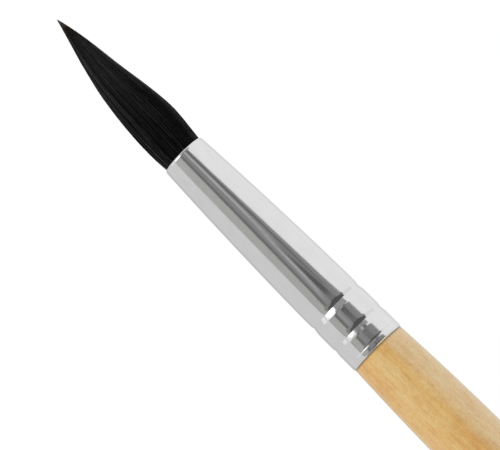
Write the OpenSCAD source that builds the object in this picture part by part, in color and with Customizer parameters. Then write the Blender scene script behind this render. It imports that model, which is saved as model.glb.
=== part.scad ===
// Round pointed brush for calligraphy and watercolour: hair tuft, crimped aluminium ferrule
// and turned wooden handle. It lies along X with the tuft's point towards -X, its belly on z = 0.
// Every piece is turned, so each is a profile of [radius, z] points revolved about the brush's
// own axis, where z is the distance behind the ferrule's mouth.

/* [Tuft] */
// How far the hair stands out of the ferrule
tuft_out = 30; // [20:0.5:40]
// How much the tuft's belly swells past its radius in the ferrule's mouth
tuft_swell = 0.42; // [0.1:0.02:0.8]
// Distance from the ferrule's mouth to the widest part of the tuft
tuft_belly_at = 6.4; // [3:0.1:12]
// How far the hair reaches into the ferrule
root_len = 9; // [7:0.5:14]
// Diameter of the bundle of long core hairs that makes the point
core_d = 4.6; // [2:0.1:6]
// How far short of the point the outer hairs end
coat_short = 3.5; // [1:0.5:8]

/* [Ferrule] */
// Length of the ferrule
ferrule_len = 44; // [32:1:60]
// Outer diameter at the mouth, where the hair comes out
ferrule_mouth_d = 7.9; // [6:0.1:10]
// Outer diameter at the end that takes the handle
ferrule_end_d = 10.3; // [8:0.1:13]
// Thickness of the aluminium
ferrule_wall = 0.3; // [0.2:0.05:0.5]
// Distance from the ferrule's handle end to the nearer crimp
crimp_from_end = 4.5; // [3:0.1:8]
// Distance between the two crimps
crimp_pitch = 4.9; // [3:0.1:7]
// How deep the crimps press into the wood
crimp_depth = 0.14; // [0.05:0.01:0.25]

/* [Handle] */
// Length of the handle that shows behind the ferrule
handle_out = 131; // [90:1:240]
// How far the handle's front stands in from the ferrule's outer surface
front_step = 0.15; // [0.05:0.05:0.25]
// How much the handle's belly, where it is held and on which it lies, swells past its front's radius
handle_swell = 0.65; // [0.2:0.05:2.5]
// Distance from the ferrule to the middle of the belly
handle_belly_at = 30; // [20:1:60]
// Length of the truly cylindrical land on the belly
grip_len = 10; // [4:0.5:16]
// Diameter of the handle just before its rounded tail
tail_d = 5.2; // [3:0.1:8]
// Length of the tenon that fits inside the ferrule
tenon_len = 20; // [14:1:28]

/* [Glue and thread] */
// Thickness of the glue film round the tenon
glue_film = 0.1; // [0.05:0.01:0.2]
// Diameter of the thread that ties the hair
thread_d = 0.35; // [0.2:0.05:0.6]
// Number of turns of thread
thread_turns = 5; // [3:1:8]
// How far the resin reaches forward round the hair's butt end
resin_grip = 2; // [1:0.1:3]
// Thickness of resin behind the hair
resin_back = 2.5; // [1:0.1:4]

/* [Hidden] */
$fn = 96;

// clearances between pieces
hair_clear = 0.03;   // hair in the ferrule's mouth, and core hairs in the outer ones
thread_clear = 0.02; // thread to hair, to its next turn and to the ferrule's bore
thread_bite = 0.1;   // least depth of the waist that the thread pulls into the hair
waist_ramp = 0.5;    // length over which the hair draws in to that waist

// finer shapes of the metal and the wood
mouth_roll = [0.45, 0.22];  // length and depth of the edge burnished in at the mouth
end_bevel = [0.26, 0.13];   // length and depth of the edge turned down against the handle
crimp_fall = 0.8;           // length of a crimp's side towards the tuft
crimp_rise = 1.15;          // length of its side towards the handle
draw_in = [4.2, 0.05];      // length and depth of the metal that the first crimp draws in ahead of it
shoulder_chamfer = 0.08;    // edge of the handle against the ferrule
tenon_chamfer = 0.6;        // lead-in at the tenon's front
tail_round = 2.4;           // length of the tail's rounded end
core_fill = 0.8;            // most of the tuft's radius that the core hairs take near the point
tuft_power = 1.5;           // how quickly the tuft draws in to its point

ferrule_mouth_r = ferrule_mouth_d / 2;
ferrule_end_r = ferrule_end_d / 2;
handle_front_r = ferrule_end_r - front_step;
handle_belly_r = handle_front_r + handle_swell;
tail_r = tail_d / 2;
root_r = ferrule_mouth_r - ferrule_wall - hair_clear;
tuft_belly_r = root_r + tuft_swell;
crimps = [ferrule_len - crimp_from_end - crimp_pitch, ferrule_len - crimp_from_end];
overall_len = tuft_out + ferrule_len + handle_out;
axis_height = max(handle_belly_r, ferrule_end_r);

// --- profiles ---

// evenly spaced places from a to b in n steps, with both ends and with neither
function steps(a, b, n) = [for (i = [0 : n]) a + (b - a) * i / n];
function between(a, b, n) = [for (i = [1 : n - 1]) a + (b - a) * i / n];

// a profile's points in the opposite order
function backwards(points) = [for (i = [len(points) - 1 : -1 : 0]) points[i]];

// a groove's depth from 0 to 1 at distance u behind its middle, with a crease at its bottom
function groove(u, fall, rise) =
    u > -fall && u < 0 ? pow(1 + u / fall, 2) :
    u >= 0 && u < rise ? pow(1 - u / rise, 1.25) : 0;

// how far a rolled edge draws in at distance u from it, as a quarter of an ellipse
function roll(u, size) = u >= size[0] ? 0 : size[1] * (1 - sqrt(1 - pow(1 - u / size[0], 2)));

// how far a bevelled edge draws in at distance u from it
function bevel(u, size) = size[1] * max(0, 1 - u / size[0]);

// the drawn tube before its edges are worked: a long arc that runs level at the handle end, and the crimps
function tube_r(z) =
    ferrule_end_r - (ferrule_end_r - ferrule_mouth_r) * pow(1 - z / ferrule_len, 2)
    - crimp_depth * groove(z - crimps[0], crimp_fall, crimp_rise)
    - crimp_depth * groove(z - crimps[1], crimp_fall, crimp_rise)
    - draw_in[1] * groove(z - crimps[0], draw_in[0], crimp_rise);
function ferrule_r(z) = tube_r(z) - roll(z, mouth_roll) - bevel(ferrule_len - z, end_bevel);

// places along the tube from the rolled mouth to the bevelled end, close together over each crimp
function crimp_steps(c) = concat(steps(c - crimp_fall, c, 5), steps(c + crimp_rise / 7, c + crimp_rise, 6));
tube_places = concat(
    [mouth_roll[0]],
    between(mouth_roll[0], crimps[0] - draw_in[0], 14),
    between(crimps[0] - draw_in[0], crimps[0] - crimp_fall, 4),
    crimp_steps(crimps[0]),
    between(crimps[0] + crimp_rise, crimps[1] - crimp_fall, 4),
    crimp_steps(crimps[1]),
    between(crimps[1] + crimp_rise, ferrule_len - end_bevel[0], 3),
    [ferrule_len - end_bevel[0]]
);

// a and b with the tube's own places between them
function tube_steps(a, b) = concat([a], [for (z = tube_places) if (z > a + 0.01 && z < b - 0.01) z], [b]);

// the bore is straight from each place to the next, so that what fits in it meets it face to face
bore = [for (z = tube_steps(0, ferrule_len)) [z, tube_r(z) - ferrule_wall]];
function bore_r(z) = lookup(z, bore);

// the tuft's radius at distance t out of the mouth
function tuft_r(t) =
    t < tuft_belly_at
    ? tuft_belly_r - tuft_swell * pow(1 - max(t, 0) / tuft_belly_at, 2)
    : tuft_belly_r * (1 - pow((t - tuft_belly_at) / (tuft_out - tuft_belly_at), tuft_power));
function core_r(t) = min(core_d / 2, core_fill * tuft_r(t));

// the handle's radius at distance t behind the ferrule: up to the belly, level, then down to the tail
grip_from = handle_belly_at - grip_len / 2;
grip_to = handle_belly_at + grip_len / 2;
tail_from = handle_out - tail_round;
function handle_r(t) =
    t < grip_from ? handle_belly_r - handle_swell * pow(1 - t / grip_from, 2) :
    t <= grip_to ? handle_belly_r :
    tail_r + (handle_belly_r - tail_r) * (1 + cos(180 * (t - grip_to) / (tail_from - grip_to))) / 2;

// where the thread's turns lie, just in front of the resin, and how far they pull the hair in
thread_pitch = thread_d + thread_clear;
thread_to = root_len - resin_grip - thread_clear;
thread_from = thread_to - thread_turns * thread_pitch;
waist_r = min(root_r - thread_bite, bore_r(thread_from) - thread_clear - thread_d);

// --- placing ---

// lays what stands on the ferrule's mouth along X, with the middle of the brush over the origin
module laid() {
    translate([tuft_out - overall_len / 2, 0, axis_height])
        rotate([0, 90, 0])
            children();
}

// a solid turned about the brush's axis from a profile of [radius, z] points
module turned(profile) {
    laid()
        rotate_extrude()
            polygon(profile);
}

// --- pieces ---

// turned birch: a tenon that fills the ferrule with the crimps' grooves in it, and the handle behind
module handle() {
    tenon_from = ferrule_len - tenon_len;
    tenon = [for (z = tube_steps(tenon_from + tenon_chamfer, ferrule_len)) [bore_r(z) - glue_film, z]];
    front = [bore_r(tenon_from) - glue_film - tenon_chamfer, tenon_from];
    rise = [for (t = steps(shoulder_chamfer, grip_from, 16)) [handle_r(t), ferrule_len + t]];
    fall = [for (t = steps(grip_to, tail_from, 32)) [handle_r(t), ferrule_len + t]];
    tail = [for (a = steps(10, 80, 7)) [tail_r * cos(a), ferrule_len + tail_from + tail_round * sin(a)]];
    color("burlywood")
        turned(concat(
            [[0, tenon_from], front],
            tenon,
            [[handle_front_r - shoulder_chamfer, ferrule_len]],
            rise,
            fall,
            tail,
            [[0, ferrule_len + handle_out]]
        ));
}

// drawn aluminium tube with its mouth burnished in round the hair and two crimps on the tenon
module ferrule() {
    rolled_mouth = concat([0], between(0, mouth_roll[0], 6));
    outside = [for (z = concat(rolled_mouth, tube_places, [ferrule_len])) [ferrule_r(z), z]];
    inside = [for (z = tube_steps(0, ferrule_len)) [bore_r(z), z]];
    color("silver")
        turned(concat(outside, backwards(inside)));
}

// the hair that makes the belly: a thick coat round the core hairs, tied in at its waist
module outer_hairs() {
    coat_out = tuft_out - coat_short;
    free = [for (t = steps(coat_out, 0, 30)) [tuft_r(t), -t]];
    root = [
        [root_r, thread_from - waist_ramp],
        [waist_r - thread_clear, thread_from],
        [waist_r - thread_clear, thread_to],
        [root_r, thread_to + waist_ramp],
        [root_r, root_len]
    ];
    hollow = [for (t = steps(0, coat_out, 30)) [core_r(t) + hair_clear, -t]];
    color([0.06, 0.06, 0.06])
        turned(concat(free, root, [[core_d / 2 + hair_clear, root_len]], hollow));
}

// the longest hairs, in the middle, which run from the butt end to the point
module core_hairs() {
    point = [for (t = steps(tuft_out, 0, 36)) [core_r(t), -t]];
    color([0.16, 0.13, 0.11])
        turned(concat(point, [[core_d / 2, root_len], [0, root_len]]));
}

// turns of thread side by side round the hair
module tie_thread() {
    color("ivory")
        laid()
            for (i = [0 : thread_turns - 1])
                translate([0, 0, thread_from + (i + 0.5) * thread_pitch])
                    rotate_extrude()
                        translate([waist_r + thread_d / 2, 0])
                            circle(d = thread_d, $fn = 24);
}

// cured resin that fills the tube behind the hair and grips its butt end
module resin_plug() {
    plug_from = root_len - resin_grip;
    plug_to = root_len + resin_back;
    outside = [for (z = tube_steps(plug_from, plug_to)) [bore_r(z), z]];
    color("goldenrod")
        turned(concat(outside, [[0, plug_to], [0, root_len], [root_r, root_len], [root_r, plug_from]]));
}

// film of glue between the tenon and the ferrule's bore, following the crimps
module handle_glue() {
    places = tube_steps(ferrule_len - tenon_len + tenon_chamfer, ferrule_len - end_bevel[0]);
    outside = [for (z = places) [bore_r(z), z]];
    inside = [for (z = places) [bore_r(z) - glue_film, z]];
    color("wheat")
        turned(concat(outside, backwards(inside)));
}

handle();
ferrule();
outer_hairs();
core_hairs();
tie_thread();
resin_plug();
handle_glue();
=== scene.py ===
# Looks of a round pointed brush: black hair tuft, crimped aluminium ferrule and turned, lacquered
# handle. It lies along X with the tuft's point towards -X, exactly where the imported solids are.
# Lengths are metres, and those written for a person to read are millimetres, times MM.

import math

import bpy
import numpy as np
from mathutils import Matrix, Vector


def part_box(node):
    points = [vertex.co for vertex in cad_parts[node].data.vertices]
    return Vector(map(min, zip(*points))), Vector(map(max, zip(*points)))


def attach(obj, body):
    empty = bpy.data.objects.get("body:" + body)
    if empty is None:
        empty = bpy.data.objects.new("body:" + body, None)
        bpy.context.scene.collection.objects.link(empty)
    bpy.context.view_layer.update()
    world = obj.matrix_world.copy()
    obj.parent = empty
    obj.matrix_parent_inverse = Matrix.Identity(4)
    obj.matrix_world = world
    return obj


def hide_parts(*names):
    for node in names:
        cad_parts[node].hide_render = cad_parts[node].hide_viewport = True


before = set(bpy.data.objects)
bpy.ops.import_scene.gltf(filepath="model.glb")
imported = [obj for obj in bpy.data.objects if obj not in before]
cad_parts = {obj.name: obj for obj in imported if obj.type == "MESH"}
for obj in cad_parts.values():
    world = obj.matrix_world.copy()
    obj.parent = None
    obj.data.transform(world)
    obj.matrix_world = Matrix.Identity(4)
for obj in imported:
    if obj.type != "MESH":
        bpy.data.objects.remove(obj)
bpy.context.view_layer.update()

MM = 0.001

# --- places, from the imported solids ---

ferrule_low, ferrule_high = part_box("ferrule")
POINT_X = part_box("core_hairs")[0].x
MOUTH_X = ferrule_low.x
END_X = ferrule_high.x
TAIL_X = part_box("handle")[1].x
TENON_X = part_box("handle")[0].x
AXIS_Z = (ferrule_low.z + ferrule_high.z) / 2
END_R = ferrule_high.z - AXIS_Z
BELLY_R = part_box("handle")[1].z - AXIS_Z
FERRULE_LEN = END_X - MOUTH_X
HANDLE_OUT = TAIL_X - END_X
TUFT_OUT = MOUTH_X - POINT_X

# --- sizes that the boxes don't give ---

MOUTH_R = 3.95 * MM             # ferrule, outside, at the mouth
WALL = 0.3 * MM                 # its aluminium
MOUTH_ROLL = (0.45 * MM, 0.22 * MM)   # length and depth of the edge burnished in round the hair
END_BEVEL = (0.26 * MM, 0.13 * MM)    # length and depth of the edge turned down against the handle
CRIMP_1 = 34.6 * MM             # distance of each crimp behind the mouth
CRIMP_2 = 39.5 * MM
TRIM_RING = 42.85 * MM          # faint ring left where the tube's end was trimmed
# each groove's middle, its depth, and the lengths of its sides towards the tuft and the handle
GROOVES = (
    (CRIMP_1, 0.14 * MM, 0.8 * MM, 1.15 * MM),
    (CRIMP_1, 0.05 * MM, 4.2 * MM, 1.15 * MM),    # what the first crimp draws in ahead of it
    (CRIMP_2, 0.14 * MM, 0.8 * MM, 1.15 * MM),
    (TRIM_RING, 0.04 * MM, 0.25 * MM, 0.3 * MM),
)

GLUE = 0.1 * MM                 # film between tenon and bore
TENON_CHAMFER = 0.6 * MM
RING_GAP = 0.08 * MM            # between the tube's rings of corners, so that no facets show
SHARP = math.radians(38)        # an edge that turns more than this stays sharp
FRONT_R = 5.0 * MM              # handle where it meets the ferrule
SHOULDER = 0.08 * MM            # broken edge there
GRIP = (25 * MM, 35 * MM)       # the belly's straight land, as distances behind the ferrule
TAIL_R = 2.6 * MM
TAIL_ROUND = 2.4 * MM

ROOT_R = 3.62 * MM              # tuft in the ferrule's mouth
BELLY_AT = 6.4 * MM             # its widest part, in front of the mouth
TUFT_R = 4.04 * MM              # its radius there
TUFT_POWER = 1.5                # how quickly it draws in to the point
# what the loose point adds to the radius, from where, and over what length
BLUNT = (0.12 * MM, 18 * MM, 7 * MM)
# how far use sets the hair to one side, from where, and over what length
HAIR_SET = (
    (0.30 * MM, 0.0, 8 * MM),
    (0.80 * MM, 15 * MM, 15 * MM),
)


# --- outlines ---

def dip(u, fall, rise):
    """A groove's depth from 0 to 1 at distance u behind its middle, with a crease at its bottom."""
    if -fall < u < 0:
        return (1 + u / fall) ** 2
    if 0 <= u < rise:
        return (1 - u / rise) ** 1.25
    return 0.0


def roll(u, size):
    """How far a rolled edge draws in at distance u from it, as a quarter of an ellipse."""
    length, depth = size
    return 0.0 if u >= length else depth * (1 - math.sqrt(1 - (1 - max(u, 0) / length) ** 2))


def tube_radius(z):
    """The drawn tube's outer radius at z behind the mouth, with its grooves but not its rolled edges."""
    taper = (END_R - MOUTH_R) * (1 - z / FERRULE_LEN) ** 2
    grooves = sum(depth * dip(z - at, fall, rise) for at, depth, fall, rise in GROOVES)
    return END_R - taper - grooves


def ferrule_radius(z):
    """The finished ferrule's outer radius at z behind the mouth."""
    bevel_len, bevel_depth = END_BEVEL
    bevel = bevel_depth * max(0, 1 - (FERRULE_LEN - z) / bevel_len)
    return tube_radius(z) - roll(z, MOUTH_ROLL) - bevel


def handle_radius(t):
    """The handle's radius at t behind the ferrule: up to the belly, level, then down to the tail."""
    if t < GRIP[0]:
        return BELLY_R - (BELLY_R - FRONT_R) * (1 - t / GRIP[0]) ** 2
    if t <= GRIP[1]:
        return BELLY_R
    fall = (t - GRIP[1]) / (HANDLE_OUT - TAIL_ROUND - GRIP[1])
    return TAIL_R + (BELLY_R - TAIL_R) * (1 + math.cos(math.pi * fall)) / 2


def tuft_radius(t):
    """The tuft's radius at t in front of the mouth; t may be an array."""
    t = np.asarray(t, float)
    swell = TUFT_R - (TUFT_R - ROOT_R) * (1 - np.clip(t / BELLY_AT, 0, 1)) ** 2
    draw = np.clip((t - BELLY_AT) / (TUFT_OUT - BELLY_AT), 0, 1)
    most, start, length = BLUNT
    blunt = most * ease((t - start) / length)
    return np.where(t < BELLY_AT, swell, TUFT_R * (1 - draw ** TUFT_POWER)) + blunt


def ease(u):
    """From 0 to 1, flat at both ends."""
    u = np.clip(u, 0, 1)
    return u * u * (3 - 2 * u)


def tuft_set(t):
    """How far use has set the hair to one side, towards +Y, at t in front of the mouth."""
    return sum(most * ease((t - start) / length) for most, start, length in HAIR_SET)


def spread(a, b, n):
    """n + 1 evenly spaced values from a to b."""
    return [a + (b - a) * i / n for i in range(n + 1)]


# --- materials ---

def linear(hex_code):
    """An sRGB hex colour as linear RGBA."""
    parts = [int(hex_code[i:i + 2], 16) / 255 for i in (1, 3, 5)]
    return [c / 12.92 if c <= 0.04045 else ((c + 0.055) / 1.055) ** 2.4 for c in parts] + [1.0]


def add(tree, kind, inputs=None, stops=None, **settings):
    """Adds a node. A socket in inputs is linked, a value there is set, and stops fill a ramp."""
    made = tree.nodes.new("ShaderNode" + kind)
    for name, value in settings.items():
        setattr(made, name, value)
    for name, value in (inputs or {}).items():
        if isinstance(value, bpy.types.NodeSocket):
            tree.links.new(value, made.inputs[name])
        else:
            made.inputs[name].default_value = value
    if stops:
        ramp = made.color_ramp.elements
        while len(ramp) < len(stops):
            ramp.new(0.5)
        for element, (place, colour) in zip(ramp, stops):
            element.position = place
            element.color = colour
    return made


def grey(value):
    """A linear grey as RGBA."""
    return (value, value, value, 1.0)


def pitch(along, around):
    """The mapping scale that gives a pattern features of that length and width, in millimetres."""
    return (1 / (along * MM), 1 / (around * MM), 1 / (around * MM))


def start_material(name):
    """A new material's tree with its Principled surface and the object's own coordinates."""
    made = bpy.data.materials.new(name)
    made.use_nodes = True
    tree = made.node_tree
    return made, tree, tree.nodes["Principled BSDF"], add(tree, "TexCoord").outputs["Object"]


def lacquered_birch():
    # Birch, turned, sanded and dipped in clear gloss lacquer. The eye sees pale honey wood with long
    # soft streaks, cloudy amber patches, short brown pores and a fine speckle, a paler band along one
    # side that is painted sheen for the lacquer's shine there, a thin line of painted shade against the
    # ferrule and, over it all, a clean wet-looking coat.
    made, tree, surface, place = start_material("lacquered_birch")
    at = add(tree, "SeparateXYZ", {"Vector": place})

    along = add(tree, "Mapping", {"Vector": place, "Scale": pitch(16, 1.9), "Location": (3.1, 0.7, 1.9)})
    figure = add(tree, "TexNoise", {"Vector": along.outputs[0], "Scale": 1.0, "Detail": 3.0,
                                    "Roughness": 0.55, "Distortion": 0.5})
    wood = add(tree, "ValToRGB", {"Fac": figure.outputs[0]}, stops=[
        (0.30, linear("#F4D99B")), (0.50, linear("#EFC97E")),
        (0.66, linear("#E9B96D")), (0.80, linear("#E2AD5C"))])

    # painted sheen: a paler band along the +Y side stands in for the lacquer's shine on that side
    wobble = add(tree, "Math", {0: figure.outputs[0], 1: 2.4 * MM, 2: at.outputs["Y"]},
                 operation="MULTIPLY_ADD")
    painted_sheen_band = add(tree, "MapRange", {"Value": wobble.outputs[0], "From Min": 1.7 * MM,
                                     "From Max": 4.2 * MM}, interpolation_type="SMOOTHSTEP")
    banded = add(tree, "Mix", {"Factor": painted_sheen_band.outputs[0], "A": wood.outputs[0],
                               "B": linear("#E6CFA2")}, data_type="RGBA")

    cloudy = add(tree, "Mapping", {"Vector": place, "Scale": pitch(2.6, 1.3)})
    clouds = add(tree, "TexNoise", {"Vector": cloudy.outputs[0], "Scale": 1.0, "Detail": 3.0,
                                    "Roughness": 0.6})
    cloud_tone = add(tree, "ValToRGB", {"Fac": clouds.outputs[0]}, stops=[
        (0.35, linear("#FFFFFF")), (0.62, linear("#F3DFC0")), (0.75, linear("#E8C490"))])
    clouded = add(tree, "Mix", {"Factor": 0.45, "A": banded.outputs[2], "B": cloud_tone.outputs[0]},
                  data_type="RGBA", blend_type="MULTIPLY")

    fibres_at = add(tree, "Mapping", {"Vector": place, "Scale": pitch(9, 0.22)})
    fibres = add(tree, "TexNoise", {"Vector": fibres_at.outputs[0], "Scale": 1.0, "Detail": 4.0,
                                    "Roughness": 0.6})
    fibre_tone = add(tree, "ValToRGB", {"Fac": fibres.outputs[0]}, stops=[
        (0.30, linear("#FFFFFF")), (0.55, linear("#F6E8D2")), (0.78, linear("#D9B480"))])
    streaked = add(tree, "Mix", {"Factor": 0.45, "A": clouded.outputs[2], "B": fibre_tone.outputs[0]},
                   data_type="RGBA", blend_type="MULTIPLY")

    pores_at = add(tree, "Mapping", {"Vector": place, "Scale": pitch(2.4, 0.17),
                                     "Location": (0.4, 7.7, 2.2)})
    pores = add(tree, "TexNoise", {"Vector": pores_at.outputs[0], "Scale": 1.0, "Detail": 1.0})
    pore_mask = add(tree, "ValToRGB", {"Fac": pores.outputs[0]}, stops=[
        (0.66, grey(0)), (0.76, grey(0.3))])
    pored = add(tree, "Mix", {"Factor": pore_mask.outputs[0], "A": streaked.outputs[2],
                              "B": linear("#A8743C")}, data_type="RGBA")

    # painted shade: the wood is darkened in a thin line in the corner against the ferrule, where shade
    # falls
    painted_seam_shade = add(tree, "MapRange", {"Value": at.outputs["X"], "From Min": END_X + 0.05 * MM,
                                  "From Max": END_X + 0.45 * MM, "To Min": 0.75, "To Max": 0.0})
    seam_shaded = add(tree, "Mix", {"Factor": painted_seam_shade.outputs[0], "A": pored.outputs[2],
                               "B": linear("#5E4327")}, data_type="RGBA")

    speckle_at = add(tree, "Mapping", {"Vector": place, "Scale": pitch(0.55, 0.2)})
    speckle = add(tree, "TexNoise", {"Vector": speckle_at.outputs[0], "Scale": 1.0, "Detail": 2.0,
                                     "Roughness": 0.6})
    speckle_tone = add(tree, "ValToRGB", {"Fac": speckle.outputs[0]}, stops=[
        (0.35, linear("#FFFFFF")), (0.68, linear("#EAD3A8"))])
    speckled = add(tree, "Mix", {"Factor": 0.55, "A": seam_shaded.outputs[2], "B": speckle_tone.outputs[0]},
                   data_type="RGBA", blend_type="MULTIPLY")

    relief = add(tree, "Bump", {"Height": fibres.outputs[0], "Strength": 0.25, "Distance": 0.02 * MM})
    rough = add(tree, "MapRange", {"Value": fibres.outputs[0], "To Min": 0.36, "To Max": 0.5})
    tree.links.new(speckled.outputs[2], surface.inputs["Base Color"])
    tree.links.new(rough.outputs[0], surface.inputs["Roughness"])
    tree.links.new(relief.outputs[0], surface.inputs["Normal"])
    surface.inputs["IOR"].default_value = 1.5
    surface.inputs["Coat Weight"].default_value = 0.9
    surface.inputs["Coat Roughness"].default_value = 0.09
    return made


def polished_aluminium():
    # Aluminium tube, drawn over a tapered mandrel and buffed. The eye sees a bright mirror whose
    # reflections are a little softened along fine lengthwise lines.
    made, tree, surface, place = start_material("polished_aluminium")
    drawn_at = add(tree, "Mapping", {"Vector": place, "Scale": pitch(26, 0.16)})
    drawn = add(tree, "TexNoise", {"Vector": drawn_at.outputs[0], "Scale": 1.0, "Detail": 3.0,
                                   "Roughness": 0.6})
    cloud_at = add(tree, "Mapping", {"Vector": place, "Scale": pitch(3.0, 1.2)})
    cloud = add(tree, "TexNoise", {"Vector": cloud_at.outputs[0], "Scale": 1.0, "Detail": 2.0})
    rough = add(tree, "MapRange", {"Value": drawn.outputs[0], "From Min": 0.3, "From Max": 0.7,
                                   "To Min": 0.08, "To Max": 0.12})
    tone = add(tree, "ValToRGB", {"Fac": cloud.outputs[0]}, stops=[
        (0.3, linear("#E8E8E8")), (0.7, linear("#EDEDED"))])
    relief = add(tree, "Bump", {"Height": drawn.outputs[0], "Strength": 0.05, "Distance": 0.004 * MM})
    tree.links.new(tone.outputs[0], surface.inputs["Base Color"])
    tree.links.new(rough.outputs[0], surface.inputs["Roughness"])
    tree.links.new(relief.outputs[0], surface.inputs["Normal"])
    surface.inputs["Metallic"].default_value = 1.0
    return made


def dyed_hair(name, root_hex, middle_hex, end_hex, tip_hex):
    # Soft animal hair, dyed black and left unvarnished. The eye sees near black at the ferrule,
    # charcoal where the tuft thins, brown at the faded point, and single hairs that are paler or that
    # catch the light.
    made, tree, surface, place = start_material(name)
    own = add(tree, "NewGeometry").outputs["Random Per Island"]
    at = add(tree, "SeparateXYZ", {"Vector": place})
    outward = add(tree, "MapRange", {"Value": at.outputs["X"], "From Min": MOUTH_X, "From Max": POINT_X})
    along = add(tree, "ValToRGB", {"Fac": outward.outputs[0]}, stops=[
        (0.0, linear(root_hex)), (0.40, linear(root_hex)), (0.75, linear(middle_hex)),
        (0.92, linear(end_hex)), (1.0, linear(tip_hex))])
    depth = add(tree, "ValToRGB", {"Fac": own}, stops=[
        (0.0, grey(0.55)), (0.86, grey(1.2)), (1.0, grey(2.8))])
    tone = add(tree, "Mix", {"Factor": 1.0, "A": along.outputs[0], "B": depth.outputs[0]},
               data_type="RGBA", blend_type="MULTIPLY")
    shine = add(tree, "ValToRGB", {"Fac": own}, stops=[
        (0.0, grey(0.07)), (0.70, grey(0.09)), (0.84, grey(0.25)), (1.0, grey(1.0))])
    tree.links.new(tone.outputs[2], surface.inputs["Base Color"])
    tree.links.new(shine.outputs[0], surface.inputs["Specular IOR Level"])
    surface.inputs["Roughness"].default_value = 0.28
    surface.inputs["IOR"].default_value = 1.55
    return made


def linen_thread():
    # Waxed linen thread, twisted from fine fibres: cream with a tight slanting twist, and quite matt.
    made, tree, surface, place = start_material("linen_thread")
    twist_at = add(tree, "Mapping", {"Vector": place, "Scale": pitch(0.12, 0.12),
                                     "Rotation": (0.6, 0.0, 0.6)})
    twist = add(tree, "TexWave", {"Vector": twist_at.outputs[0], "Scale": 1.0, "Distortion": 1.5,
                                  "Detail": 2.0})
    tone = add(tree, "ValToRGB", {"Fac": twist.outputs[0]}, stops=[
        (0.0, linear("#C9B791")), (1.0, linear("#E6DABB"))])
    relief = add(tree, "Bump", {"Height": twist.outputs[0], "Strength": 0.5, "Distance": 0.03 * MM})
    tree.links.new(tone.outputs[0], surface.inputs["Base Color"])
    tree.links.new(relief.outputs[0], surface.inputs["Normal"])
    surface.inputs["Roughness"].default_value = 0.85
    return made


def cured_resin():
    # Resin cast round the hair's butt ends: amber and glassy, clouded by small air bubbles.
    made, tree, surface, place = start_material("cured_resin")
    bubbles_at = add(tree, "Mapping", {"Vector": place, "Scale": pitch(0.7, 0.7)})
    bubbles = add(tree, "TexVoronoi", {"Vector": bubbles_at.outputs[0], "Scale": 1.0})
    tone = add(tree, "ValToRGB", {"Fac": bubbles.outputs["Distance"]}, stops=[
        (0.0, linear("#E0B45E")), (0.25, linear("#C48A32")), (1.0, linear("#A56D20"))])
    tree.links.new(tone.outputs[0], surface.inputs["Base Color"])
    surface.inputs["Roughness"].default_value = 0.18
    surface.inputs["IOR"].default_value = 1.55
    return made


def wood_glue():
    # White wood glue, dried to a thin yellowish film that shows the brush marks it was spread with.
    made, tree, surface, place = start_material("wood_glue")
    marks_at = add(tree, "Mapping", {"Vector": place, "Scale": pitch(0.5, 4)})
    marks = add(tree, "TexNoise", {"Vector": marks_at.outputs[0], "Scale": 1.0, "Detail": 3.0})
    tone = add(tree, "ValToRGB", {"Fac": marks.outputs[0]}, stops=[
        (0.3, linear("#CDBB8B")), (0.7, linear("#E2D5AC"))])
    tree.links.new(tone.outputs[0], surface.inputs["Base Color"])
    surface.inputs["Roughness"].default_value = 0.5
    return made


# --- making pieces ---

def finish_piece(name, points, faces, maps, material, nodes):
    """A smooth mesh piece that rides on the brush and stands for those nodes. maps holds a (u, v) for
    each corner of each face."""
    mesh = bpy.data.meshes.new(name)
    mesh.from_pydata(points, [], faces)
    mesh.materials.append(material)
    mesh.uv_layers.new(name="OFBake").data.foreach_set("uv", np.asarray(maps, np.float32).ravel())
    mesh.polygons.foreach_set("use_smooth", [True] * len(mesh.polygons))
    mesh.update()
    piece = bpy.data.objects.new(name, mesh)
    bpy.context.scene.collection.objects.link(piece)
    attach(piece, "root")
    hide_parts(*nodes)
    return piece


def turned(name, profile, sides, material, nodes, closed=False, sideways=lambda x: 0.0):
    """A piece turned about the brush's axis from (x, radius) points. Radius 0 makes a pole, closed joins
    the last ring to the first, and sideways moves each ring along Y."""
    points, rings = [], []
    for x, r in profile:
        rings.append(range(len(points), len(points) + (1 if r == 0 else sides)))
        for k in range(1 if r == 0 else sides):
            a = 2 * math.pi * k / sides
            points.append((x, sideways(x) + r * math.sin(a), AXIS_Z + r * math.cos(a)))
    lengths = [0.0]
    for (x0, r0), (x1, r1) in zip(profile, profile[1:] + profile[:1]):
        lengths.append(lengths[-1] + math.hypot(x1 - x0, r1 - r0))
    faces, maps = [], []
    for i in range(len(profile) if closed else len(profile) - 1):
        near, far = rings[i], rings[(i + 1) % len(profile)]
        u0, u1 = lengths[i] / lengths[-1], lengths[i + 1] / lengths[-1]
        for k in range(sides):
            j, v0, v1 = (k + 1) % sides, k / sides, (k + 1) / sides
            corners = [(near[k % len(near)], u0, v0), (far[k % len(far)], u1, v0),
                       (far[j % len(far)], u1, v1), (near[j % len(near)], u0, v1)]
            if len(near) == 1:
                corners.pop(3)
            if len(far) == 1:
                corners.pop(2)
            faces.append([c[0] for c in corners])
            maps += [(c[1], c[2]) for c in corners]
    piece = finish_piece(name, points, faces, maps, material, nodes)
    piece.data.set_sharp_from_angle(angle=SHARP)
    return piece


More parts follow.
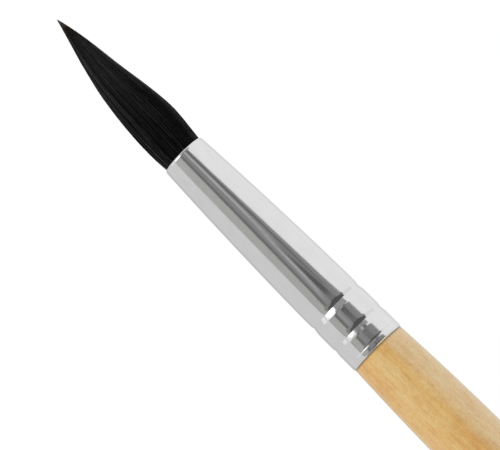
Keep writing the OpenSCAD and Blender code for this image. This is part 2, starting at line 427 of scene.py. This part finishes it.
def make_ferrule(material):
    """The tube from its burnished mouth over the crimps to its end, and back along the bore."""
    rolled = [MOUTH_ROLL[0] * (1 - math.cos(a)) for a in spread(0, math.pi / 2, 16)]
    bends = {MOUTH_ROLL[0], FERRULE_LEN - END_BEVEL[0], FERRULE_LEN}
    for at, _, fall, rise in GROOVES:
        bends |= {at - fall, at, at + rise}
    bends = sorted(bends)
    tube = []
    for a, b in zip(bends, bends[1:]):
        tube += spread(a, b, max(3, round((b - a) / RING_GAP)))[1:]
    outside = [(MOUTH_X + z, ferrule_radius(z)) for z in rolled + tube]
    inside = [(MOUTH_X + z, tube_radius(z) - WALL) for z in reversed(spread(0, FERRULE_LEN, 88))]
    return turned("ferrule_tube", outside + inside, 144, material, ["ferrule"],
                  closed=True)


def make_handle(material):
    """The tenon with the crimps' grooves in it, the shoulder, the belly and the rounded tail."""
    tenon_from = TENON_X - MOUTH_X
    tenon_r = tube_radius(tenon_from) - WALL - GLUE
    front = [(TENON_X, 0.0), (TENON_X, tenon_r - TENON_CHAMFER)]
    tenon = [(MOUTH_X + z, tube_radius(z) - WALL - GLUE)
             for z in spread(tenon_from + TENON_CHAMFER, FERRULE_LEN, 80)]
    shoulder = [(END_X, FRONT_R - SHOULDER)]
    out = [(END_X + t, handle_radius(t)) for t in spread(SHOULDER, HANDLE_OUT - TAIL_ROUND, 170)]
    tail = [(TAIL_X - TAIL_ROUND * (1 - math.sin(a)), TAIL_R * math.cos(a))
            for a in spread(0, math.pi / 2, 14)[1:-1]]
    return turned("turned_handle", front + tenon + shoulder + out + tail + [(TAIL_X, 0.0)], 128,
                  material, ["handle"])


# --- hair ---

HAIR_ROOT = 2.0 * MM            # how far a drawn hair starts inside the ferrule
HAIR_THICK = 0.10 * MM          # a little coarser than real hair, so that single hairs show
HAIR_WIDTHS = (0.75, 1.25)      # thinnest and thickest hair, as shares of that
HAIR_RINGS = 15                 # places along a hair where it has corners
THIN_END = 0.25                 # last share of a hair that tapers, and the width that it tapers to
LONGER = 0.7                    # under 1 makes more hairs end near the far end of their range
DRIFT = 0.07                    # radians that a hair wanders round the tuft by the point
WAVE = 0.012                    # radians of its waver to either side
WAVE_RUN = 9                    # radians that the waver goes through over the tuft's length
LOCKS = 30                      # bundles of hair that cling together
LOCK_JITTER = 0.3               # how unevenly they stand, as a share of their pitch
CLING = 0.55                    # how far a hair moves to the middle of its lock
CLING_SPAN = (0.1, 0.6)         # where it starts to, and over what length, as shares of the tuft's
CREASE = 0.05                   # depth of the creases between locks, as a share of the radius
CREASE_SPAN = 0.3               # share of the tuft's length over which they deepen
BELLY_COUNT = 1300              # hairs in each third of the belly
POINT_COUNT = 1200              # long hairs
BED_FILL = 0.86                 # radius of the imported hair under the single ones, against the tuft's
BED_STOP = 2.5 * MM             # its last ring's distance from the point
BED_TIP = 2.0 * MM              # its own tip's distance from the point


def hair_maps(count):
    """A (u, v) for each corner of each face. u runs along the hair, and each hair has a strip of v,
    cut in three for its sides with a margin between them."""
    u = np.linspace(0.01, 0.99, HAIR_RINGS)
    maps = np.zeros((count, HAIR_RINGS - 1, 3, 4, 2))
    maps[..., 0] = np.stack([u[:-1], u[1:], u[1:], u[:-1]], -1)[None, :, None, :]
    strip = (np.arange(count)[:, None, None] + (np.arange(3)[None, None, :] + 0.5) / 3) / count
    half_side = 1 / (6.5 * count)
    maps[..., 1] = strip[..., None] + np.array([-half_side, -half_side, half_side, half_side])
    middle = (np.arange(count) + 0.5) / count
    tip_maps = np.repeat(np.stack([np.full(count, 0.99), middle], -1), 3, 0)
    root_maps = np.repeat(np.stack([np.full(count, 0.01), middle], -1), 3, 0)
    return np.concatenate([maps.reshape(-1, 2), tip_maps, root_maps])


def comb(name, count, seed, depths, ends, material, nodes):
    """Three-sided hairs that follow the tuft's outline. depths are shares of its section's area, counted
    from the middle, and ends are distances out of the mouth."""
    rng = np.random.default_rng(seed)
    root_angle = rng.uniform(0, 2 * math.pi, count)
    depth = rng.uniform(depths[0], depths[1], count) ** 0.5
    end = ends[0] + (ends[1] - ends[0]) * rng.uniform(0, 1, count) ** LONGER
    drift = rng.normal(0, DRIFT, count)
    wave = rng.uniform(0, 2 * math.pi, count)
    width = HAIR_THICK * rng.uniform(*HAIR_WIDTHS, count)
    stands = rng.uniform(-LOCK_JITTER, LOCK_JITTER, LOCKS) + np.arange(LOCKS)
    lock_at = np.sort(stands) * 2 * math.pi / LOCKS
    gap = (root_angle[:, None] - lock_at + math.pi) % (2 * math.pi) - math.pi
    to_lock = gap[np.arange(count), np.abs(gap).argmin(1)]

    along = np.linspace(0, 1, HAIR_RINGS)[None, :]
    out = -HAIR_ROOT + (end[:, None] + HAIR_ROOT) * along
    share = np.clip(out / TUFT_OUT, 0, 1)
    gather = CLING * ease((share - CLING_SPAN[0]) / CLING_SPAN[1])
    angle = root_angle[:, None] - to_lock[:, None] * gather + drift[:, None] * share
    angle += WAVE * np.sin(wave[:, None] + WAVE_RUN * share)
    valley = 1 - CREASE * ease(share / CREASE_SPAN) * (to_lock[:, None] * LOCKS / math.pi) ** 2
    radius = tuft_radius(out) * depth[:, None] * valley - width[:, None] / 2
    radius = np.maximum(radius, 0)
    across = tuft_set(out) + radius * np.sin(angle)
    centre = np.stack([MOUTH_X - out, across, AXIS_Z + radius * np.cos(angle)], -1)
    taper = np.clip((1 - along) / THIN_END, THIN_END, 1) * np.ones_like(out)
    half = width[:, None] * taper / 2

    corners = []
    for k in range(3):
        turn = angle + 2 * math.pi * k / 3
        side = np.stack([np.zeros_like(turn), np.sin(turn), np.cos(turn)], -1)
        corners.append(centre + side * half[..., None])
    points = np.stack(corners, 2).reshape(-1, 3)

    ring = np.arange(HAIR_RINGS - 1)[None, :, None]
    first = (np.arange(count)[:, None, None] * HAIR_RINGS + ring) * 3
    k = np.arange(3)[None, None, :]
    following = (k + 1) % 3
    sides = np.stack([first + k, first + 3 + k, first + 3 + following, first + following], -1)
    tips = (np.arange(count) * HAIR_RINGS + HAIR_RINGS - 1)[:, None] * 3 + np.array([0, 1, 2])
    roots = np.arange(count)[:, None] * HAIR_RINGS * 3 + np.array([2, 1, 0])
    faces = sides.reshape(-1, 4).tolist() + tips.tolist() + roots.tolist()
    return finish_piece(name, points.tolist(), faces, hair_maps(count), material, nodes)


def make_tuft(coat, core):
    """A bed of packed hair that nothing shows through, the shorter hairs of the belly, and the long ones
    that make the point."""
    bed = [(MOUTH_X + HAIR_ROOT, 0.0)]
    bed += [(MOUTH_X - t, BED_FILL * float(tuft_radius(t)))
            for t in spread(-HAIR_ROOT, TUFT_OUT - BED_STOP, 60)]
    bed += [(MOUTH_X - TUFT_OUT + BED_TIP, 0.0)]
    turned("packed_hair", bed, 96, core, ["core_hairs"],
           sideways=lambda x: float(tuft_set(MOUTH_X - x)))
    for part in range(3):
        comb(f"belly_hairs_{part + 1}", BELLY_COUNT, 11 + part, (0.74, 1.0), (13 * MM, 28.5 * MM),
             coat, ["outer_hairs"])
    comb("point_hairs", POINT_COUNT, 31, (0.05, 1.0), (26 * MM, TUFT_OUT), core,
         ["core_hairs"])


# --- studio ---

CEILING = 3.0                   # height of the cards, so far off that all of the brush mirrors them alike
ROOM = 6.0                      # half the width of the light table and of the backdrop
REACH = 9.0                     # how far the long cards run each way along the brush
WALL_AT = -1.5 * CEILING        # the left wall's place across the brush
SKIM = 0.011                    # width of the strips of table that the ferrule's underside mirrors
SKIM_Z = 0.1 * MM               # their height
FLOOR_GAP = 0.02 * MM           # the light table lies this far under the brush


def bare_material(name):
    """A material without its Principled surface, its tree, and the socket that takes a new surface."""
    made = bpy.data.materials.new(name)
    made.use_nodes = True
    tree = made.node_tree
    tree.nodes.remove(tree.nodes["Principled BSDF"])
    return made, tree, tree.nodes["Material Output"].inputs["Surface"]


def glow(name, colour, strength):
    # Even light of one colour, as from a lit sheet of paper.
    made, tree, surface = bare_material(name)
    light = add(tree, "Emission", {"Color": colour, "Strength": strength})
    tree.links.new(light.outputs[0], surface)
    return made


def lit_paper(name):
    # White paper on a light table. It glows by itself, and what falls on it from above adds a little.
    made, tree, surface = bare_material(name)
    own = add(tree, "Emission", {"Color": grey(1), "Strength": 0.95})
    lit = add(tree, "BsdfDiffuse", {"Color": grey(0.08)})
    both = add(tree, "AddShader")
    tree.links.new(own.outputs[0], both.inputs[0])
    tree.links.new(lit.outputs[0], both.inputs[1])
    tree.links.new(both.outputs[0], surface)
    return made


def stage_piece(name, corners, faces, material, hidden_from, raised=0.0):
    """A part of the studio. hidden_from names the kinds of ray that pass it by."""
    mesh = bpy.data.meshes.new(name)
    mesh.from_pydata(corners, [], faces)
    mesh.materials.append(material)
    made = bpy.data.objects.new(name, mesh)
    made.location.z = raised
    bpy.context.scene.collection.objects.link(made)
    for ray in hidden_from:
        setattr(made, "visible_" + ray, False)


def card(name, strength, corners, colour="#FFFFFF"):
    """A card that only gloss reflects: the camera doesn't see it, and it lights no matt surface."""
    stage_piece(name, corners, [range(len(corners))], glow(name, linear(colour), strength),
                ["camera", "diffuse", "shadow", "transmission"])


def ceiling(name, level, strength, outline, colour="#FFFFFF"):
    """A card over the brush. outline is along and across the brush from over the ferrule, in heights of
    the card. A card at a lower level covers those above it."""
    over_x = (MOUTH_X + END_X) / 2
    high = CEILING * level
    card(name, strength, [(over_x + x * high, y * high, AXIS_Z + high) for x, y in outline], colour)


def make_room():
    """The light table, the backdrop that low views show behind it, and even light from all round."""
    around = [(-ROOM, -ROOM), (ROOM, -ROOM), (ROOM, ROOM), (-ROOM, ROOM)]
    stage_piece("light_table", [(x, y, 0) for x, y in around], [(0, 1, 2, 3)], lit_paper("light_table"),
                ["glossy"], raised=-FLOOR_GAP)
    stage_piece("backdrop", [(x, y, z) for z in (-1, ROOM) for x, y in around],
                [(0, 1, 5, 4), (1, 2, 6, 5), (2, 3, 7, 6), (3, 0, 4, 7), (4, 5, 6, 7)],
                glow("backdrop", grey(1), 1.02), ["diffuse", "glossy", "shadow", "transmission"])
    world = bpy.data.worlds.new("studio")
    world.use_nodes = True
    world.node_tree.nodes["Background"].inputs["Color"].default_value = grey(1)
    world.node_tree.nodes["Background"].inputs["Strength"].default_value = 0.88
    bpy.context.scene.world = world


def make_ceiling():
    """What the ferrule's top mirrors: sheets of olive and grey, and between them the dark gap over the
    brush, with lines that run through it."""
    ceiling("olive_sheet", 1.04, 0.43, [(-0.27, 0.1), (-0.45, -1.5), (3, -1.5), (3, 0.1)], "#FFFFFB")
    ceiling("grey_sheet", 1.03, 0.33, [
        (-1.6, -0.3), (-0.2, -0.3), (-0.2, 0.62), (-0.35, 0.64), (-0.40, 0.95), (-1.6, 1.05)])
    ceiling("gap_over_brush", 1.02, 0.25, [
        (-0.42, 0), (-0.40, 0.60), (-0.29, 0.61), (-0.18, 0.97), (-0.06, 1.29), (0.3, 1.45),
        (1.1, 1.7), (1.1, -0.9), (0.0, -0.75), (-0.08, -0.58), (-0.11, -0.56), (-0.26, -0.36)])
    ceiling("olive_rim", 1.03, 0.36, [(-0.18, -1.28), (-0.18, -1.5), (3, -1.5), (3, -1.28)])
    ceiling("left_line", 1.01, 0.16, [
        (-0.30, -0.10), (-0.235, -0.16), (-0.19, -0.22), (-0.165, -0.25), (-0.14, -0.33),
        (-0.05, -0.38), (-0.05, -0.56), (-0.14, -0.50), (-0.165, -0.44), (-0.19, -0.40),
        (-0.235, -0.36), (-0.30, -0.32)])
    ceiling("light_line", 1.00, 0.46, [
        (-0.36, 0.30), (-0.235, 0.27), (-0.185, 0.24), (-0.15, 0.10), (-0.12, -0.02), (-0.09, -0.20),
        (-0.10, -0.30), (-0.13, -0.12), (-0.16, -0.06), (-0.19, 0.10), (-0.235, 0.12), (-0.36, 0.12)])
    ceiling("right_line", 0.99, 0.13, [
        (-0.36, 0.34), (-0.24, 0.36), (-0.17, 0.42), (-0.13, 0.48), (-0.13, 0.60), (-0.17, 0.54),
        (-0.24, 0.50), (-0.36, 0.48)])
    ceiling("black_corner", 0.98, 0.09, [
        (-0.17, 0.10), (-0.13, 0.38), (-0.08, 0.44), (0.05, 0.58), (0.3, 1.2), (1.1, 1.5),
        (1.1, -0.8), (0.4, -0.5), (0.2, -0.15), (0.02, 0.02), (-0.05, 0.03)])
    ceiling("corner_window", 0.97, 0.24, [
        (-0.088, 0.05), (-0.088, 0.44), (-0.055, 0.44), (-0.055, 0.05)])


def make_end_lights():
    """The bright box that shows as a spot at each crimp, a softer one that glints on the hair, and warm
    light from the handle's end."""
    ceiling("crimp_box", 0.96, 2.1, [
        (-0.53, -0.15), (-0.47, -0.20), (-0.435, -0.30), (-0.415, -0.42), (-0.41, -0.55),
        (-0.42, -0.70), (-0.445, -0.85), (-0.49, -1.00), (-0.56, -1.12), (-0.62, -1.00),
        (-0.65, -0.65), (-0.62, -0.30)])
    ceiling("tuft_side_box", 0.95, 1.3, [(-0.66, -0.50), (-0.66, -2.20), (-1.20, -2.20), (-1.20, -0.50)])
    ceiling("warm_side", 1.05, 0.84, [(1.1, -3), (6, -3), (6, 3), (1.1, 3)], "#FFF0D8")


def make_sides():
    """What the ferrule's sides mirror: pale walls, and the table beside and under the brush."""
    card("left_wall", 0.69, [
        (-REACH, WALL_AT, 0), (REACH, WALL_AT, 0),
        (REACH, WALL_AT, CEILING), (-REACH, WALL_AT, CEILING)])
    nearer = 0.99 * WALL_AT
    card("left_glow", 0.92, [
        (-2.7, nearer, 0.5), (-1.2, nearer, 0.5), (-1.5, nearer, 2.2), (-4.0, nearer, 2.2)])
    card("right_end", 0.79, [(0.5, 4.4, -1), (4, 4.4, -1), (4, 4.4, 4), (0.5, 4.4, 4)])
    card("left_floor", 0.69, [(-REACH, WALL_AT, 0), (REACH, WALL_AT, 0), (REACH, 0, 0), (-REACH, 0, 0)])
    # the strips of table right under the brush glow less than the rest: painted shade for the shadow that
    # the brush casts there
    card("under_left", 0.58, [
        (-REACH, -SKIM, SKIM_Z), (REACH, -SKIM, SKIM_Z), (REACH, 0, SKIM_Z), (-REACH, 0, SKIM_Z)])
    card("under_right", 0.76, [
        (-REACH, 0, SKIM_Z), (REACH, 0, SKIM_Z), (REACH, SKIM, SKIM_Z), (-REACH, SKIM, SKIM_Z)])


def make_camera():
    """Looks down on the front half of the brush, turned so that the tuft points up and to the left."""
    turn, tilt, away = math.radians(44.85), math.radians(6.5), 0.605
    aim = Vector((MOUTH_X + 15.6 * MM, -0.44 * MM, AXIS_Z))
    back = Vector((math.sin(tilt), 0, math.cos(tilt)))
    right = Vector((math.cos(turn) * math.cos(tilt), math.sin(turn), -math.cos(turn) * math.sin(tilt)))
    right.normalize()
    up = back.cross(right)
    lens = bpy.data.cameras.new("camera")
    lens.sensor_width = 36
    lens.lens = 273
    camera = bpy.data.objects.new("camera", lens)
    facing = Matrix((right, up, back)).transposed().to_4x4()
    camera.matrix_world = Matrix.Translation(aim + back * away) @ facing
    bpy.context.scene.collection.objects.link(camera)
    bpy.context.scene.camera = camera


make_ferrule(polished_aluminium())
make_handle(lacquered_birch())
make_tuft(dyed_hair("black_hair", "#121213", "#2B2B2E", "#2E2B27", "#5A5145"),
          dyed_hair("brown_tipped_hair", "#121212", "#2D2C2C", "#38332F", "#83776A"))
inside = {"tie_thread": linen_thread(), "resin_plug": cured_resin(), "handle_glue": wood_glue()}
for node, finish in inside.items():
    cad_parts[node].data.materials.clear()
    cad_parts[node].data.materials.append(finish)
make_room()
make_ceiling()
make_end_lights()
make_sides()
make_camera()
bpy.context.scene.view_settings.view_transform = "Standard"

bpy.context.view_layer.update()
